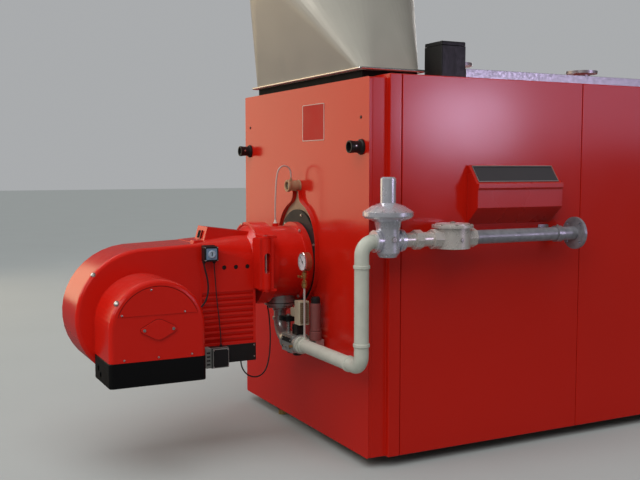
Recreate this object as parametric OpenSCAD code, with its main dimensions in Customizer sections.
// Industrial hot-water boiler with a forced-draught gas burner, its gas train and flue hood.
// Millimetres, +Z up. The origin is on the floor under the middle of the casing.
// The burner end faces -Y and the gas train runs along the +X side.

/* [Casing] */
// Width of the main casing
casing_w = 1760; // [1400:20:2200]
// Length of the casing from the burner end to the rear
casing_l = 2700; // [2200:50:3400]
// Height of the main casing above the floor
casing_h = 2125; // [1900:25:2400]
// How much narrower the casing is on each side at the burner end
front_step = 30; // [25:5:70]
// Depth of the narrower casing at the burner end
front_d = 110; // [80:10:180]
// How much lower the top of the burner end lies than the main casing
front_drop = 20; // [10:5:40]
// Gap between the floor and the lower edge of the panels
skirt_gap = 60; // [40:5:80]
// Thickness of the lined casing panels
panel_t = 20; // [15:1:30]
// Width of the open seam between two panels
seam = 4; // [2:1:8]
// Depth of the first side strip, up to the first open seam
strip_d = 185; // [150:5:230]
// Radius of the folded panel edges
fold_r = 8; // [4:1:14]

/* [Base] */
// Height of the base rails
rail_h = 100; // [90:5:140]
// Width of each base rail
rail_w = 90; // [60:5:140]
// Distance between the rail centres
rail_gap = 1240; // [1000:20:1300]
// Set-back of the rails from both ends of the casing
rail_inset = 90; // [60:10:200]

/* [Burner opening] */
// Height of the burner axis above the floor
burner_z = 1060; // [1000:10:1120]
// Outer radius of the insulating ring on the front panel
ring_r = 386; // [370:2:400]
// How far the insulating ring stands proud of the panel
ring_proud = 25; // [15:1:35]
// Outer radius of the black burner plate
plate_r = 331; // [310:1:345]
// How far the burner plate lies behind the face of the ring
plate_step = 5; // [2:1:10]
// Height of the sight glass above the burner axis
sight_rise = 459; // [450:1:480]
// Radius of the sight glass body
sight_r = 37; // [30:1:42]
// Length of the sight glass body
sight_l = 58; // [40:1:80]

/* [Burner] */
// Radius of the burner neck
neck_r = 218; // [205:1:225]
// Radius of the flange that bolts the neck to the plate
neck_flange_r = 240; // [238:1:260]
// Thickness of that flange
neck_flange_t = 35; // [20:1:45]
// Length of the neck between its flange and the swing flange
neck_l = 190; // [180:5:205]
// Radius of the swing flange
swing_r = 246; // [240:1:260]
// Thickness of the swing flange
swing_t = 85; // [75:5:95]
// Thickness of the round flange at the end of the fan housing
housing_flange_t = 20; // [15:1:26]
// Width of the fan housing
housing_w = 380; // [360:5:400]
// Radius of the rounded edges of the fan housing
housing_round = 22; // [16:2:34]
// Length of the air duct between the flange and the fan scroll
duct_l = 365; // [355:5:385]
// Height of the fan shaft above the floor
fan_z = 790; // [780:5:800]
// Distance from the scroll end of the duct back to the fan shaft
fan_back = 335; // [325:5:345]
// Radius of the fan scroll straight above the shaft
scroll_r = 400; // [380:5:410]
// Loss of scroll radius for each degree of turn
scroll_fall = 0.55; // [0.4:0.05:0.6]
// Diameter of the three test holes in the housing side
test_d = 26; // [16:1:30]

/* [Air intake] */
// Height of the louvred intake box
intake_h = 344; // [320:4:350]
// Number of louvres on each side
louvres = 9; // [6:1:10]
// Depth of a louvre
louvre_d = 12; // [6:1:16]
// Height of the black strip under the intake
strip_h = 102; // [90:2:110]

/* [Fan cover] */
// Half width of the motor cover
cover_r = 256; // [244:2:262]
// Depth of the motor cover
cover_d = 330; // [280:5:360]
// How much higher the middle of the motor cover lies than the fan shaft
cover_rise = 12; // [0:2:20]
// Radius of the rounded edge of the motor cover
cover_round = 26; // [20:2:36]
// Height of the straight part of the motor cover
cover_straight = 160; // [150:2:170]
// Height of the black tray under the cover
tray_h = 130; // [110:5:140]
// Length of the two-bolt inspection cover
hatch_l = 190; // [170:5:200]
// Height of the two-bolt inspection cover
hatch_h = 104; // [90:2:110]

/* [Gas train] */
// Outer diameter of the gas pipe
pipe_d = 76; // [60:1:80]
// Height of the gas valve line
valve_z = 600; // [595:1:615]
// Distance of the gas valve line in front of the casing
valve_out = 130; // [130:5:140]
// Distance of the side gas line from the main casing
side_out = 125; // [125:5:150]
// Height of the side gas line
side_z = 1253; // [1230:1:1280]
// Bend radius of the gas elbows, on the centre line
bend_r = 70; // [66:2:76]
// Radius of the regulator diaphragm case
regulator_r = 132; // [124:2:140]
// Radius of the regulator spring tube
spring_r = 41; // [30:1:45]
// Length of the regulator spring tube
spring_l = 125; // [100:5:150]
// Radius of the filter lid
filter_r = 112; // [100:1:118]
// Radius of the gas inlet flange under the neck
inlet_r = 96; // [90:1:98]
// Distance from the regulator to the filter, between their centres
filter_gap = 403; // [380:5:450]
// Length of the supply pipe behind the filter
supply_l = 730; // [700:10:900]
// Radius of the supply flange
supply_flange_r = 92.5; // [90:0.5:100]
// Bolt circle diameter of the supply flange
supply_pcd = 145; // [140:1:150]
// Bolt hole diameter of the supply flange
supply_hole = 18; // [14:1:20]

/* [Flue] */
// Width of the flue hood at its foot
hood_w = 1470; // [1300:10:1600]
// Depth of the flue hood at its foot
hood_d = 400; // [340:10:460]
// Height of the flue hood
hood_h = 600; // [500:10:700]
// Radius of the round flue
flue_r = 500; // [460:5:520]
// Height of the round flue stub
flue_h = 200; // [150:10:260]
// Sheet thickness of the flue stub
flue_t = 8; // [6:1:12]
// Gap between the casing and the foot of the hood
hood_lift = 30; // [20:2:50]

/* [Water connections] */
// Outer radius of the nozzle flanges
nozzle_flange_r = 110; // [105:1:120]
// Radius of the nozzle pipe
nozzle_r = 57; // [50:1:60]
// Bore radius of the nozzle
nozzle_bore = 50; // [40:1:51]
// Height of the nozzle above the casing
nozzle_h = 190; // [150:5:240]
// Bolt circle diameter of the nozzle flanges
nozzle_pcd = 180; // [175:1:185]
// Bolt hole diameter of the nozzle flanges
nozzle_hole = 18; // [14:1:20]

// Distance of the flow nozzle from the burner end
flow_y = 1150; // [900:10:1300]
// Distance between the flow and the return nozzle
nozzle_gap = 1100; // [500:10:1200]
// Length of the cable trunking along the right edge of the top
trunking_l = 1500; // [1000:50:1800]
// Width of the cable trunking
trunking_w = 70; // [50:5:100]
// Height of the cable trunking
trunking_h = 46; // [30:2:70]

/* [Console] */
// Length of the control console along the casing
console_l = 600; // [500:10:700]
// How far the console stands out from the casing
console_out = 110; // [90:2:115]
// Height of the top of the console above the floor
console_z = 1643; // [1600:1:1700]
// Height of the whole console
console_h = 330; // [300:5:360]
// Distance of the console from the burner end
console_y = 610; // [600:10:700]

/* [Knobs] */
// Radius of the front panel knobs
knob_r = 34; // [25:1:38]
// How far a knob stands out
knob_out = 78; // [50:2:90]
// Distance of a knob from the edge of the front panel
knob_in = 80; // [60:5:120]
// Height of the knobs above the floor
knob_z = 1740; // [1600:5:1800]

/* [Hidden] */

round_fn = 96;
front_y = -casing_l / 2;
body_x = casing_w / 2;
front_x = body_x - front_step;
front_w = 2 * front_x;
front_top = casing_h - front_drop;
side_join = strip_d + (casing_l - strip_d) / 2;

plate_y = -(ring_proud - plate_step);
neck_flange_y = plate_y - neck_flange_t;
neck_y = neck_flange_y - neck_l;
swing_y = neck_y - swing_t;
housing_y = swing_y - housing_flange_t;
duct_y = housing_y - duct_l;
fan_y = duct_y - fan_back;
duct_r = housing_w / 2;
duct_floor = burner_z - 100;
intake_floor = duct_floor - intake_h;
cover_z = fan_z + cover_rise;
tray_top = cover_z - cover_straight;
tray_floor = tray_top - tray_h;
cover_x = duct_r + cover_d;
side_x = body_x + side_out;
intake_end = housing_y - 22;
gas_y = -valve_out;
pipe_r = pipe_d / 2;

// Moves its children from the burner end to their place on the casing.
module at_front() {
  translate([0, front_y, 0]) children();
}

// Lies its children down so that their Z points away from the burner end.
module facing_front(x, y, z) {
  translate([x, y, z]) rotate([90, 0, 0]) children();
}

// A rectangle with round corners, centred.
module round_rect(w, h, r) {
  square([w - 2 * r, h], center = true);
  square([w, h - 2 * r], center = true);
  for (sx = [-1, 1], sy = [-1, 1]) {
    translate([sx * (w / 2 - r), sy * (h / 2 - r)]) circle(r = r, $fn = 32);
  }
}

// A straight rod between two heights.
module rod(r, z0, z1) {
  translate([0, 0, z0]) cylinder(r = r, h = z1 - z0, $fn = round_fn);
}

// A quarter bend that starts at the origin along +Z and ends along +X.
module bend(r, radius) {
  translate([radius, 0, 0]) rotate([90, 0, 0]) rotate([0, 0, 90])
    rotate_extrude(angle = 90, $fn = round_fn)
      translate([radius, 0]) circle(r = r, $fn = 48);
}

// A tube with flat ends along a list of points.
module swept_tube(points, r, sides = 8) {
  last = len(points) - 1;
  rings = [for (i = [0 : last]) ring_at(points, i, r, sides)];
  verts = [for (ring = rings) for (p = ring) p];
  walls = [for (i = [0 : last - 1], k = [0 : sides - 1]) [
    i * sides + k, i * sides + (k + 1) % sides,
    (i + 1) * sides + (k + 1) % sides, (i + 1) * sides + k
  ]];
  start_cap = [for (k = [sides - 1 : -1 : 0]) k];
  end_cap = [for (k = [0 : sides - 1]) last * sides + k];
  polyhedron(points = verts, faces = concat([start_cap], walls, [end_cap]));
}

function unit(v) = v / norm(v);
function heading(points, i) = unit(
  points[min(i + 1, len(points) - 1)] - points[max(i - 1, 0)]
);
function ring_at(points, i, r, sides) =
  let (d = heading(points, i))
  let (u = unit(cross(d, abs(d[0]) > 0.9 ? [0, 1, 0] : [1, 0, 0])))
  let (v = cross(d, u))
  [for (k = [0 : sides - 1])
    points[i] + r * (cos(-360 * k / sides) * u + sin(-360 * k / sides) * v)];

// Base

module base_frame() {
  rail_l = casing_l - 2 * rail_inset;
  color("#8a1a14") {
    for (s = [-1, 1]) {
      translate([s * rail_gap / 2 - rail_w / 2, -rail_l / 2, 0]) cube([rail_w, rail_l, rail_h]);
    }
    translate([-rail_gap / 2, -rail_w / 2, 0]) cube([rail_gap, rail_w, rail_h]);
  }
}

// Casing

module boiler_body() {
  inner_x = body_x - panel_t;
  inner_front = front_x - panel_t;
  color("#7c7c78") at_front() {
    translate([-inner_front, panel_t, rail_h])
      cube([2 * inner_front, front_d, front_top - panel_t - rail_h]);
    translate([-inner_x, front_d + panel_t, rail_h])
      cube([2 * inner_x, casing_l - front_d - 2 * panel_t, casing_h - panel_t - rail_h]);
  }
}

module front_panel() {
  mid_z = (front_top + skirt_gap) / 2;
  color("#cc2a1c") at_front() difference() {
    facing_front(0, panel_t, mid_z)
      linear_extrude(panel_t) round_rect(front_w, front_top - skirt_gap, fold_r);
    facing_front(0, panel_t + 1, burner_z) cylinder(r = ring_r, h = panel_t + 2, $fn = round_fn);
    sight_lug_cut();
  }
}

// The tapered lug of the insulating ring that reaches up to the sight glass.
module lug_outline() {
  foot = ring_r * sin(32);
  polygon([
    [-foot, ring_r * cos(32)], [foot, ring_r * cos(32)],
    [sight_r, sight_rise - sight_r], [sight_r, sight_rise],
    [-sight_r, sight_rise], [-sight_r, sight_rise - sight_r]
  ]);
  translate([0, sight_rise]) circle(r = sight_r, $fn = 48);
}

module sight_lug_cut() {
  facing_front(0, panel_t + 1, burner_z) linear_extrude(panel_t + 2) lug_outline();
}

module front_side(s) {
  wide = body_x - front_x + panel_t;
  depth = strip_d - seam / 2;
  color("#bf2218") at_front() {
    translate([s > 0 ? front_x - panel_t : -front_x, panel_t, skirt_gap])
      cube([panel_t, front_d, front_top - skirt_gap]);
    translate([s > 0 ? front_x - panel_t : -body_x, front_d, skirt_gap])
      cube([wide, panel_t, casing_h - skirt_gap]);
    translate([s > 0 ? body_x - panel_t : -body_x, front_d, skirt_gap])
      cube([panel_t, depth - front_d, casing_h - skirt_gap]);
  }
}

module front_side_left() {
  front_side(-1);
}

module front_side_right() {
  front_side(1);
}

module insulation_ring() {
  depth = ring_proud + panel_t;
  color("#d9c8a4") at_front() difference() {
    facing_front(0, panel_t, burner_z) linear_extrude(depth) union() {
      circle(r = ring_r, $fn = round_fn);
      lug_outline();
    }
    facing_front(0, panel_t + 1, burner_z) cylinder(r = plate_r, h = depth + 2, $fn = round_fn);
  }
}

module burner_plate() {
  color("#1d1d1e") at_front()
    facing_front(0, panel_t, burner_z)
      cylinder(r = plate_r, h = panel_t - plate_y, $fn = round_fn);
}

// The two lengths of side panel behind the front strip, with an open seam before each.
module side_panels(s) {
  color("#bf2218") at_front()
    for (span = [[strip_d + seam / 2, side_join - seam / 2], [side_join + seam / 2, casing_l - panel_t]]) {
      translate([s > 0 ? body_x - panel_t : -body_x, span[0], skirt_gap])
        cube([panel_t, span[1] - span[0], casing_h - skirt_gap]);
    }
}

module side_panels_left() {
  side_panels(-1);
}

module side_panels_right() {
  side_panels(1);
}

module top_panel() {
  inner_x = body_x - panel_t;
  inner_front = front_x - panel_t;
  color("#bf2218") at_front() {
    translate([-inner_front, panel_t, front_top - panel_t])
      cube([2 * inner_front, front_d, panel_t]);
    translate([-inner_front, front_d, front_top - panel_t])
      cube([2 * inner_front, panel_t, casing_h - front_top + panel_t]);
    translate([-inner_x, front_d + panel_t, casing_h - panel_t])
      cube([2 * inner_x, casing_l - front_d - 2 * panel_t, panel_t]);
  }
}

module rear_panel() {
  color("#bf2218") at_front()
    translate([-body_x, casing_l - panel_t, skirt_gap])
      cube([2 * body_x, panel_t, casing_h - skirt_gap]);
}

// Flue

hood_y = hood_d / 2 + 15;
hood_z = casing_h + hood_lift;
hood_corner = 80;
lip_h = 12;

module flue_hood() {
  foot_w = hood_w - 60;
  foot_y = hood_y - hood_d / 2 + 25;
  foot_d = hood_d - 50;
  step_y = front_d + panel_t;
  color("#a9aaa6") at_front() {
    translate([0, hood_y, hood_z]) {
      linear_extrude(lip_h) round_rect(hood_w + 12, hood_d + 12, hood_corner);
      translate([0, 0, lip_h]) hull() {
        linear_extrude(1) round_rect(hood_w, hood_d, hood_corner);
        translate([0, 0, hood_h - lip_h - 1]) cylinder(r = flue_r, h = 1, $fn = 64);
      }
    }
    translate([-foot_w / 2, step_y, casing_h])
      cube([foot_w, foot_y + foot_d - step_y, hood_lift]);
    translate([-foot_w / 2, foot_y, front_top])
      cube([foot_w, front_d - foot_y, hood_z - front_top]);
    translate([-foot_w / 2, front_d - 1, casing_h])
      cube([foot_w, panel_t + 2, hood_lift]);
  }
}

module flue_duct() {
  bead = 8;
  color("#b4b5b2") at_front() translate([0, hood_y, hood_z + hood_h]) {
    difference() {
      union() {
        cylinder(r = flue_r, h = flue_h, $fn = round_fn);
        for (z = [0, flue_h * 0.86]) {
          translate([0, 0, z]) cylinder(r = flue_r + bead, h = 14, $fn = round_fn);
        }
      }
      translate([0, 0, -1]) cylinder(r = flue_r - flue_t, h = flue_h + 2, $fn = round_fn);
    }
  }
}

// Water connections and top fittings

module nozzle() {
  flange_t = 20;
  difference() {
    union() {
      cylinder(r = nozzle_r, h = nozzle_h, $fn = round_fn);
      translate([0, 0, nozzle_h - flange_t])
        cylinder(r = nozzle_flange_r, h = flange_t, $fn = round_fn);
    }
    translate([0, 0, 30]) cylinder(r = nozzle_bore, h = nozzle_h, $fn = round_fn);
    for (a = [22.5 : 45 : 337.5]) {
      rotate([0, 0, a]) translate([nozzle_pcd / 2, 0, nozzle_h - flange_t - 1])
        cylinder(r = nozzle_hole / 2, h = flange_t + 2, $fn = 32);
    }
  }
}

module water_nozzles() {
  color("#9fa3a6") at_front()
    for (y = [flow_y, flow_y + nozzle_gap]) {
      translate([0, y, casing_h]) nozzle();
    }
}

// The cable trunking along the right edge, with the junction box at its front end.
module top_trunking() {
  edge_gap = 6;
  box_y = 440;
  box_w = 170;
  box_d = 160;
  box_h = 190;
  box_gap = 10;
  color("#b9bcbf") at_front() {
    translate([body_x - trunking_w - edge_gap, box_y + box_d - 1, casing_h])
      cube([trunking_w, trunking_l, trunking_h]);
    translate([body_x - box_gap - box_w, box_y, casing_h]) cube([box_w, box_d, box_h]);
  }
}

// Control console

console_glass_t = 4;
console_ledge = 14;
console_nose = 20;
console_drop = 98;
console_slope = atan2(console_drop, console_out - console_ledge - console_nose);

// Side outline of the console: out from the casing and up.
function console_outline() = [
  [0, console_z - console_h], [0, console_z], [console_ledge, console_z],
  [console_out - console_nose, console_z - console_drop],
  [console_out, console_z - console_drop - 2], [console_out, console_z - 125],
  [console_out - 8, console_z - 137], [console_out - 8, console_z - 235],
  [0, console_z - console_h]
];

// The sloping glass, raised above the console by an amount when it is cut out.
module console_glass_plate(raised) {
  inset = 18;
  margin = 6;
  run = console_drop / sin(console_slope) - 2 * margin;
  translate([body_x + console_ledge, console_y + inset, console_z]) rotate([0, console_slope, 0])
    translate([margin, 0, -console_glass_t])
      cube([run, console_l - 2 * inset, console_glass_t + raised]);
}

module control_console() {
  color("#b51f17") at_front() difference() {
    translate([body_x, console_y + console_l, 0]) rotate([90, 0, 0])
      linear_extrude(console_l) polygon(console_outline());
    console_glass_plate(1);
  }
}

module console_glass() {
  color("#3b3f44") at_front() console_glass_plate(0);
}

// Front panel fittings

module knob() {
  difference() {
    union() {
      cylinder(r = knob_r + 8, h = 12, $fn = round_fn);
      cylinder(r = knob_r, h = knob_out, $fn = round_fn);
    }
    translate([0, 0, 20]) cylinder(r = knob_r - 10, h = knob_out, $fn = round_fn);
  }
}

module front_knobs() {
  color("#1b1b1c") at_front()
    for (s = [-1, 1]) {
      facing_front(s * (front_x - knob_in), 0, knob_z) knob();
    }
}

module sight_glass() {
  glass_r = sight_r - 14;
  color("#cdbb98") at_front()
    facing_front(0, -ring_proud, burner_z + sight_rise) difference() {
      union() {
        cylinder(r = sight_r - 3, h = sight_l, $fn = round_fn);
        translate([0, 0, sight_l - 16]) cylinder(r = sight_r, h = 16, $fn = round_fn);
        translate([0, 0, sight_l / 2]) rotate([-90, 0, 0]) cylinder(r = 9, h = sight_r + 14, $fn = 32);
      }
      translate([0, 0, sight_l - 10]) cylinder(r = glass_r, h = 12, $fn = round_fn);
    }
}

// Route of the cooling hose from the sight glass down to the neck, in the frame of the burner end.
hose_y = -160;
hose_route = [
  [0, -54, 1570], [0, -54, 1584], [0, -56, 1600], [0, -62, 1618], [0, -74, 1632],
  [0, -90, 1639], [0, -108, 1639], [0, -126, 1629], [0, -138, 1612], [0, -146, 1588],
  [0, -151, 1555], [0, -155, 1510], [0, -158, 1450], [0, -160, 1390], [0, -160, 1340],
  [0, -160, 1294]
];

module sight_hose() {
  color("#c9b3ab") at_front() swept_tube(hose_route, 5);
}

// Burner

module burner_neck() {
  boss_r = 20;
  color("#b81f15") at_front() {
    facing_front(0, plate_y, burner_z) cylinder(r = neck_flange_r, h = neck_flange_t, $fn = round_fn);
    facing_front(0, neck_flange_y + 1, burner_z) cylinder(r = neck_r, h = neck_l + 1, $fn = round_fn);
    translate([0, hose_y, 0]) rod(boss_r, burner_z + neck_r - 20, burner_z + neck_r + 16);
  }
}

pin_x = swing_r + 32;
pin_y = housing_y + 6;
pin_r = 8;
knuckle_r = 30;
block_l = 86;
block_h = 290;
block_z = burner_z - 122;
lug_t = 14;
lug_gap = 0.5;

// The flange on which the whole burner swings aside, with two lugs that hold the hinge pin.
module hinge_flange() {
  color("#c9281b") at_front() {
    facing_front(0, neck_y, burner_z) cylinder(r = swing_r, h = swing_t, $fn = round_fn);
    for (z = [block_z - lug_gap - lug_t, block_z + block_h + lug_gap]) {
      translate([0, 0, z]) linear_extrude(lug_t) hinge_lug();
    }
    translate([pin_x, pin_y, 0])
      rod(pin_r, block_z - lug_t - 10, block_z + block_h + lug_t + 10);
  }
}

// Outline of a lug, from the flange out to the pin.
module hinge_lug() {
  root_x = 120;
  top_rise = block_z + block_h - burner_z;
  clear_x = sqrt(swing_r * swing_r - top_rise * top_rise) + 3;
  translate([root_x, swing_y]) square([pin_x - root_x + 10, 50]);
  translate([clear_x, pin_y - 22]) square([pin_x - clear_x, swing_y - pin_y + 23]);
  translate([pin_x, pin_y]) circle(r = knuckle_r - 6, $fn = 48);
}

// The knuckle of the hinge on the side of the housing, between the two lugs.
module hinge_knuckle() {
  difference() {
    translate([0, 0, block_z]) linear_extrude(block_h) {
      translate([duct_r + 0.5, pin_y - block_l / 2])
        square([pin_x + 12 - duct_r, swing_y - pin_y + block_l / 2]);
      translate([swing_r + 1.5, swing_y - 1])
        square([pin_x + 11 - swing_r, pin_y + block_l / 2 - swing_y + 1]);
      translate([pin_x, pin_y]) circle(r = knuckle_r, $fn = 48);
    }
    hinge_slot();
    translate([pin_x, pin_y, 0]) rod(pin_r + 0.5, block_z - 1, block_z + block_h + 1);
  }
}

module hinge_slot() {
  slot_w = 36;
  slot_h = 120;
  slot_z = burner_z - 35;
  translate([pin_x - 16, pin_y, slot_z + slot_h / 2]) rotate([0, 90, 0]) rotate([0, 0, 90])
    linear_extrude(60) round_rect(slot_w, slot_h, slot_w / 2 - 0.1);
}

// Outline of the fan scroll: a spiral that opens into the air duct.
function scroll_point(a) = let (r = scroll_r - scroll_fall * (a - 90))
  [fan_y + r * cos(a), fan_z + r * sin(a)];
duct_top = fan_z + scroll_r + 16;
scroll_end = duct_y + 2 * housing_round;
scroll_points = concat(
  [for (a = [90 : 9 : 279]) scroll_point(a)],
  [[scroll_end, intake_floor], [scroll_end, duct_top]]
);

// A profile in Y and Z that is given a thickness in X, with rounded edges.
module cushion(width, round_r, steps = 4) {
  hull() for (s = [-1, 1], k = [0 : steps]) {
    a = 90 * k / steps;
    translate([s * (width / 2 - round_r + round_r * sin(a)) - (s > 0 ? 0.5 : 0), 0, 0])
      rotate([90, 0, 90]) linear_extrude(0.5)
        offset(delta = -round_r * (1 - cos(a))) children();
  }
}

module fan_housing() {
  test_gap = 71;
  color("#c7261a") at_front() difference() {
    union() {
      intersection() {
        cushion(housing_w, housing_round) polygon(scroll_points);
        translate([-housing_w, duct_y + 0.5 - 1000, 0]) cube([2 * housing_w, 1000, 2 * fan_z]);
      }
      air_duct();
      housing_flange();
      duct_cover();
      hinge_knuckle();
    }
    for (k = [1 : 3]) {
      translate([duct_r - 12, housing_y - test_gap * k, burner_z + 3]) rotate([0, 90, 0])
        cylinder(r = test_d / 2, h = 20, $fn = 32);
    }
  }
}

// The arched flange at the end of the housing and its flare, cut off above the intake box.
module housing_flange() {
  flare_r = swing_r - 16;
  flare_l = 40;
  facing_front(0, swing_y, burner_z) intersection() {
    union() {
      cylinder(r = swing_r, h = housing_flange_t, $fn = round_fn);
      translate([0, 0, housing_flange_t - 1])
        cylinder(r1 = flare_r, r2 = duct_r - 2, h = flare_l, $fn = round_fn);
    }
    translate([-swing_r, duct_floor - burner_z + 6, -1])
      cube([2 * swing_r, 2 * swing_r, housing_flange_t + flare_l]);
  }
}

// The duct from the scroll, square below and round on top at the flange.
module air_duct() {
  hull() {
    translate([0, housing_y + 1, 0]) rotate([90, 0, 0]) linear_extrude(2) {
      translate([-duct_r, duct_floor]) square([housing_w, burner_z - duct_floor]);
      intersection() {
        translate([0, burner_z]) circle(r = duct_r, $fn = 48);
        translate([-duct_r, burner_z - 1]) square([housing_w, duct_r + 2]);
      }
    }
    translate([0, duct_y + 2, 0]) rotate([90, 0, 0]) linear_extrude(2) {
      translate([-duct_r, duct_floor]) square([housing_w, 150]);
      for (s = [-1, 1]) {
        translate([s * (duct_r - housing_round), duct_top - housing_round])
          circle(r = housing_round, $fn = 32);
      }
    }
  }
}

// The sloping cover cast on top of the duct.
module duct_cover() {
  half = 80;
  translate([-half, 0, 0]) rotate([90, 0, 90]) linear_extrude(2 * half)
    polygon([
      [duct_y + 63, duct_top - 20], [duct_y + 93, duct_top + 84],
      [housing_y - 20, burner_z + duct_r + 6], [housing_y - 20, burner_z + 100]
    ]);
}

module intake_box() {
  pitch = (intake_h - 40) / louvres;
  box_l = intake_end - duct_y - 1;
  color("#b81f15") at_front() difference() {
    translate([-duct_r, duct_y + 1, intake_floor]) cube([housing_w, box_l, intake_h]);
    for (s = [0, 1], k = [0 : louvres - 1]) {
      mirror([s, 0, 0])
        translate([duct_r, intake_end - 16, intake_floor + 16 + pitch * k]) rotate([90, 0, 0])
          linear_extrude(box_l - 32) polygon([[1, -1], [1, pitch * 0.75], [-louvre_d, 0]]);
    }
  }
}

module intake_strip() {
  color("#171718") at_front()
    translate([-duct_r - 4, duct_y + 40, intake_floor - strip_h])
      cube([housing_w + 8, intake_end - duct_y - 40, strip_h]);
}

// Outline of the motor cover drawn in by an amount, but still full at its straight foot.
module cover_outline(inset) {
  half = cover_r - inset;
  translate([fan_y - half, tray_top]) square([2 * half, cover_straight]);
  intersection() {
    translate([fan_y, cover_z]) circle(r = half, $fn = 64);
    translate([fan_y - half, cover_z - 1]) square([2 * half, half + 2]);
  }
}

module fan_cover() {
  steps = 4;
  panel_r = cover_r - cover_round - 8;
  panel_foot = 76;
  color("#cf2a1d") at_front() {
    translate([duct_r, 0, 0]) rotate([90, 0, 90]) hull() {
      linear_extrude(cover_d - cover_round) cover_outline(0);
      for (k = [1 : steps]) {
        a = 90 * k / steps;
        linear_extrude(cover_d - cover_round * (1 - sin(a)))
          cover_outline(cover_round * (1 - cos(a)));
      }
    }
    translate([cover_x - 1, fan_y, cover_z]) rotate([90, 0, 90]) linear_extrude(4)
      intersection() {
        circle(r = panel_r, $fn = round_fn);
        translate([-panel_r, panel_foot]) square([2 * panel_r, panel_r]);
      }
  }
}

module inspection_cover() {
  color("#c7261a") at_front()
    translate([cover_x, fan_y, cover_z]) rotate([90, 0, 90]) linear_extrude(9) hull() {
      circle(r = hatch_h / 2, $fn = 32);
      for (s = [-1, 1]) {
        translate([s * (hatch_l / 2 - 14), 0]) circle(r = 14, $fn = 24);
      }
    }
}

module cover_tray() {
  color("#141415") at_front()
    translate([duct_r, fan_y, tray_floor]) linear_extrude(tray_h)
      translate([cover_d / 2, 0]) round_rect(cover_d, 2 * cover_r + 4, 22);
}

module pressure_switch() {
  side = 92;
  color("#8d99a6") at_front()
    translate([duct_r, duct_y + 6, burner_z + 44]) {
      translate([0, 11, 0]) cube([30, side - 22, side]);
      translate([29, 4, 4]) cube([41, side - 8, side - 8]);
      translate([69, side / 2, side / 2]) rotate([0, 90, 0]) cylinder(r = 24, h = 10, $fn = 48);
    }
}

// Routes of the leads, in the frame of the burner end.
switch_route = [
  [236, -700, 1108], [236, -700, 1090], [236, -694, 1060], [236, -684, 1020],
  [236, -678, 980], [236, -678, 945], [236, -684, 910], [236, -700, 876],
  [236, -726, 850], [236, -756, 834], [236, -778, 826], [236, -792, 823]
];
actuator_route = [
  [212, -632, 1104], [212, -632, 1085], [212, -630, 1050], [212, -626, 1000],
  [212, -622, 940], [212, -616, 870], [212, -608, 800], [212, -602, 740],
  [212, -598, 690], [212, -596, 650], [212, -596, 620]
];
valve_route = [
  [150, -450, 513], [150, -449, 495], [149, -440, 462], [147, -418, 430],
  [144, -386, 408], [140, -348, 400], [136, -312, 410], [131, -284, 438],
  [126, -266, 480], [121, -254, 535], [112, -246, 600], [98, -240, 655],
  [72, -232, 705], [42, -223, 748], [18, -218, 772], [10, -217, 785], [10, -217, 797]
];

module lead(route, r) {
  color("#141415") at_front() swept_tube(route, r);
}

module switch_lead() {
  lead(switch_route, 5);
}

module actuator_lead() {
  lead(actuator_route, 3);
}

module valve_lead() {
  lead(valve_route, 4);
}

// The actuator hangs on the side of the intake, with its gearbox at the left.
module damper_actuator() {
  actuator_h = 120;
  actuator_z = intake_floor + 4 - actuator_h;
  color("#6f6b62") at_front() {
    translate([duct_r + 4, duct_y + 15, actuator_z]) cube([54, 34, actuator_h]);
    translate([duct_r + 4, duct_y + 48, actuator_z]) cube([68, 106, actuator_h]);
  }
}

// Gas train

inlet_top = burner_z - neck_r - 2;
inlet_h = 56;
inlet_bend = 110;
fit_gap = 0.3;

// The gas inlet: a round flange that is cut to the shape of the neck above it, and an elbow.
module gas_inlet() {
  foot_h = 14;
  saddle_h = 24;
  groove_z = inlet_top - inlet_h / 2;
  color("#6d7072") at_front() difference() {
    translate([0, gas_y, 0]) {
      difference() {
        rod(inlet_r, inlet_top - inlet_h + foot_h, inlet_top + saddle_h);
        translate([0, 0, groove_z]) difference() {
          cylinder(r = inlet_r + 1, h = 5, $fn = round_fn);
          translate([0, 0, -1]) cylinder(r = inlet_r - 6, h = 7, $fn = round_fn);
        }
      }
      rod(inlet_r - 16, inlet_top - inlet_h, inlet_top - inlet_h + foot_h + 1);
      rod(pipe_r, valve_z + inlet_bend, inlet_top - inlet_h + 1);
      translate([0, 0, valve_z + inlet_bend]) mirror([0, 0, 1]) bend(pipe_r, inlet_bend);
    }
    facing_front(0, neck_flange_y + 10, burner_z)
      cylinder(r = neck_r + fit_gap, h = neck_l + 10, $fn = round_fn);
    facing_front(0, plate_y, burner_z)
      cylinder(r = neck_flange_r + fit_gap, h = neck_flange_t + fit_gap, $fn = round_fn);
  }
}

valve_l = 190;
valve_h = 104;
valve_top = valve_z + valve_h / 2;
valve_end = inlet_bend + valve_l;
flange_w = 20;
arm_rise = 33;

// The valve casting: two flanges, a round body with flat sides and an arm for the governor.
module gas_valve() {
  arm_back = gas_y + 112;
  arm_top = valve_z + arm_rise;
  color("#8c8f92") at_front() {
    translate([inlet_bend, gas_y, valve_z]) rotate([0, 90, 0]) {
      for (x = [0, valve_l - flange_w]) {
        translate([0, 0, x]) cylinder(r = pipe_r + 18, h = flange_w, $fn = round_fn);
      }
      cylinder(r = pipe_r + 8, h = valve_l, $fn = round_fn);
    }
    translate([inlet_bend + flange_w + 4, gas_y - 50, valve_z - valve_h / 2])
      cube([valve_l - 2 * flange_w - 8, 100, valve_h]);
    translate([valve_end - 80, gas_y + 49, arm_top - 50])
      cube([52, arm_back - gas_y - 49, 50]);
    translate([valve_end - 80, gas_y + 58, arm_top - 50]) cube([150, arm_back - gas_y - 58, 50]);
  }
}
governor_x = valve_end + 40;
governor_y = gas_y + 72;

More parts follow.
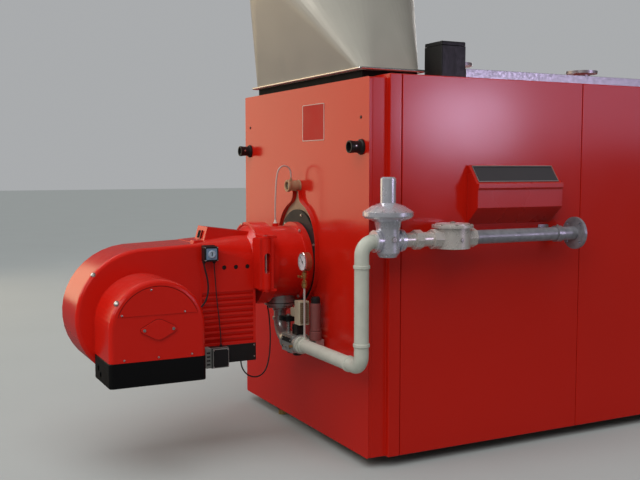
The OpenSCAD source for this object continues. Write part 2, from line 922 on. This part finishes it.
// The governor that stands on the arm of the valve.
module gas_governor() {
  foot = valve_z + arm_rise;
  color("#9a8782") at_front() translate([governor_x, governor_y, 0]) {
    rod(36, foot, foot + 46);
    rod(30, foot + 45, foot + 212);
    rod(34, foot + 52, foot + 62);
    rod(26, foot + 211, foot + 249);
  }
}

// The black coils of the two magnetic valves.
module valve_coils() {
  color("#191a1b") at_front() {
    translate([inlet_bend + 40, gas_y - 14, 0]) {
      rod(14, valve_top, valve_top + 68);
      translate([-30, -27, valve_top + 67]) cube([60, 55, 34]);
    }
    translate([inlet_bend + 106, gas_y + 2, 0]) {
      rod(20, valve_top, valve_top + 56);
      rod(8, valve_top + 55, valve_top + 64);
    }
  }
}

servo_x = valve_end - 44;
servo_y = gas_y - 25;

module valve_servo() {
  servo_w = 64;
  servo_d = 66;
  servo_z = valve_top + 66;
  color("#b3aa92") at_front() {
    translate([servo_x, servo_y, servo_z]) cube([servo_w, servo_d, 139]);
    translate([servo_x - 66, servo_y + 5, servo_z + 40]) cube([67, 50, 50]);
    translate([servo_x - 16, servo_y + 5, valve_top]) cube([39, 55, servo_z - valve_top + 1]);
  }
}

gauge_x = valve_end + 40;
gauge_y = gas_y + 26;
gauge_z = burner_z + 29;

module pressure_gauge() {
  gauge_r = 55;
  color("#b0723c") at_front() {
    facing_front(gauge_x, gauge_y, gauge_z) cylinder(r = gauge_r, h = 43, $fn = round_fn);
    translate([gauge_x, gas_y, 0]) {
      rod(4, valve_z + pipe_r + tap_h + fit_gap, gauge_z - 140);
      rod(8, gauge_z - 141, gauge_z - gauge_r + 8);
      rod(13, gauge_z - 96, gauge_z - 56);
      rod(15, gauge_z - 150, gauge_z - 112);
      translate([-32, 0, gauge_z - 86]) rotate([0, 90, 0]) cylinder(r = 6, h = 64, $fn = 32);
    }
  }
}

riser_x = side_x;
regulator_l = 170;
tap_h = 12;
regulator_y = gas_y + bend_r + regulator_l / 2;

module gas_riser() {
  color("#a3a49d") at_front() translate([0, gas_y, valve_z]) {
    translate([valve_end, 0, 0]) rotate([0, 90, 0]) {
      cylinder(r = pipe_r, h = riser_x - bend_r - valve_end, $fn = round_fn);
      cylinder(r = pipe_r + 12, h = 24, $fn = round_fn);
    }
    translate([gauge_x, 0, 0]) rod(13, pipe_r - 8, pipe_r + tap_h);
    translate([riser_x, 0, bend_r]) mirror([0, 0, 1]) mirror([1, 0, 0]) bend(pipe_r, bend_r);
    translate([riser_x, 0, 0]) rod(pipe_r, bend_r, side_z - valve_z - bend_r);
    translate([riser_x, 0, side_z - valve_z - bend_r]) rotate([0, 0, 90]) bend(pipe_r, bend_r);
  }
}

module gas_regulator() {
  neck_half = 62;
  base_z = 84;
  case_z = 140;
  tube_z = 196;
  tube_end = tube_z + spring_l;
  color("#b9bdbf") at_front() translate([riser_x, regulator_y, side_z]) {
    for (s = [-1, 1]) {
      translate([0, s * (regulator_l / 2 - 11), 0]) rotate([90, 0, 0])
        cylinder(r = pipe_r + 20, h = 22, center = true, $fn = round_fn);
    }
    rotate([90, 0, 0]) cylinder(r = pipe_r + 6, h = regulator_l - 2, center = true, $fn = round_fn);
    rotate_extrude($fn = round_fn) polygon([
      [0, -base_z], [neck_half - 16, -base_z], [neck_half, -base_z + 24],
      [neck_half, case_z - 80], [neck_half + 8, case_z - 40],
      [regulator_r - 10, case_z - 22], [regulator_r, case_z - 10],
      [regulator_r, case_z + 10], [regulator_r - 12, case_z + 18],
      [spring_r + 44, tube_z - 16], [spring_r + 10, tube_z - 4], [spring_r, tube_z],
      [spring_r, tube_end], [spring_r - 8, tube_end + 8], [0, tube_end + 8]
    ]);
  }
}

filter_y = regulator_y + filter_gap;
filter_l = 276;

module gas_filter() {
  start = regulator_y + regulator_l / 2;
  body_r = filter_r - 16;
  body_top = 58;
  lid_top = 72;
  cap_top = 80;
  union_gap = 70;
  color("#c3c4c1") at_front() translate([riser_x, 0, side_z]) {
    translate([0, filter_y, 0]) {
      rod(body_r, 4 - body_top, body_top);
      rod(filter_r, body_top - 1, lid_top);
      rod(filter_r - 20, lid_top - 1, cap_top);
      rotate([90, 0, 0]) cylinder(r = pipe_r + 15, h = filter_l, center = true, $fn = 8);
    }
    translate([0, start, 0]) rotate([-90, 0, 0])
      cylinder(r = pipe_r, h = filter_y - filter_l / 2 - start + 1, $fn = round_fn);
    translate([0, start + union_gap, 0]) rotate([-90, 0, 0]) cylinder(r = pipe_r + 14, h = 44, $fn = 8);
  }
}

module gas_supply_pipe() {
  start = filter_y + filter_l / 2;
  flange_t = 18;
  color("#9fa2a5") at_front() translate([riser_x, start, side_z]) rotate([-90, 0, 0])
    difference() {
      union() {
        cylinder(r = pipe_r, h = supply_l, $fn = round_fn);
        translate([0, 0, supply_l - flange_t])
          cylinder(r = supply_flange_r, h = flange_t, $fn = round_fn);
      }
      translate([0, 0, supply_l - 60]) cylinder(r = pipe_r - 4, h = 61, $fn = round_fn);
      for (a = [45 : 90 : 315]) {
        rotate([0, 0, a]) translate([supply_pcd / 2, 0, supply_l - flange_t - 1])
          cylinder(r = supply_hole / 2, h = flange_t + 2, $fn = 32);
      }
    }
}

module pipe_bracket() {
  arm_h = 40;
  clamp_w = 40;
  color("#8f9294") at_front()
    translate([body_x, filter_y + filter_l / 2 + supply_l - 160, side_z]) {
      translate([0, 0, -arm_h / 2]) cube([side_out - pipe_r - 0.5, clamp_w, arm_h]);
      translate([side_out, clamp_w, 0]) rotate([90, 0, 0]) difference() {
        cylinder(r = pipe_r + 8, h = clamp_w, $fn = round_fn);
        translate([0, 0, -1]) cylinder(r = pipe_r, h = clamp_w + 2, $fn = round_fn);
      }
    }
}

// The drain valve stands on the floor under the left half of the casing.
module drain_valve() {
  color("#b8923e") at_front() translate([-rail_gap / 2 + 243, front_d / 2, 0]) {
    rod(26, 0, 24);
    rod(14, 23, rail_h);
  }
}

base_frame();
boiler_body();
front_panel();
front_side_left();
front_side_right();
insulation_ring();
burner_plate();
side_panels_left();
side_panels_right();
top_panel();
rear_panel();
flue_hood();
flue_duct();
water_nozzles();
top_trunking();
control_console();
console_glass();
front_knobs();
sight_glass();
sight_hose();
burner_neck();
hinge_flange();
fan_housing();
intake_box();
intake_strip();
fan_cover();
inspection_cover();
cover_tray();
pressure_switch();
switch_lead();
actuator_lead();
valve_lead();
damper_actuator();
gas_inlet();
gas_valve();
valve_coils();
valve_servo();
gas_governor();
pressure_gauge();
gas_riser();
gas_regulator();
gas_filter();
gas_supply_pipe();
pipe_bracket();
drain_valve();
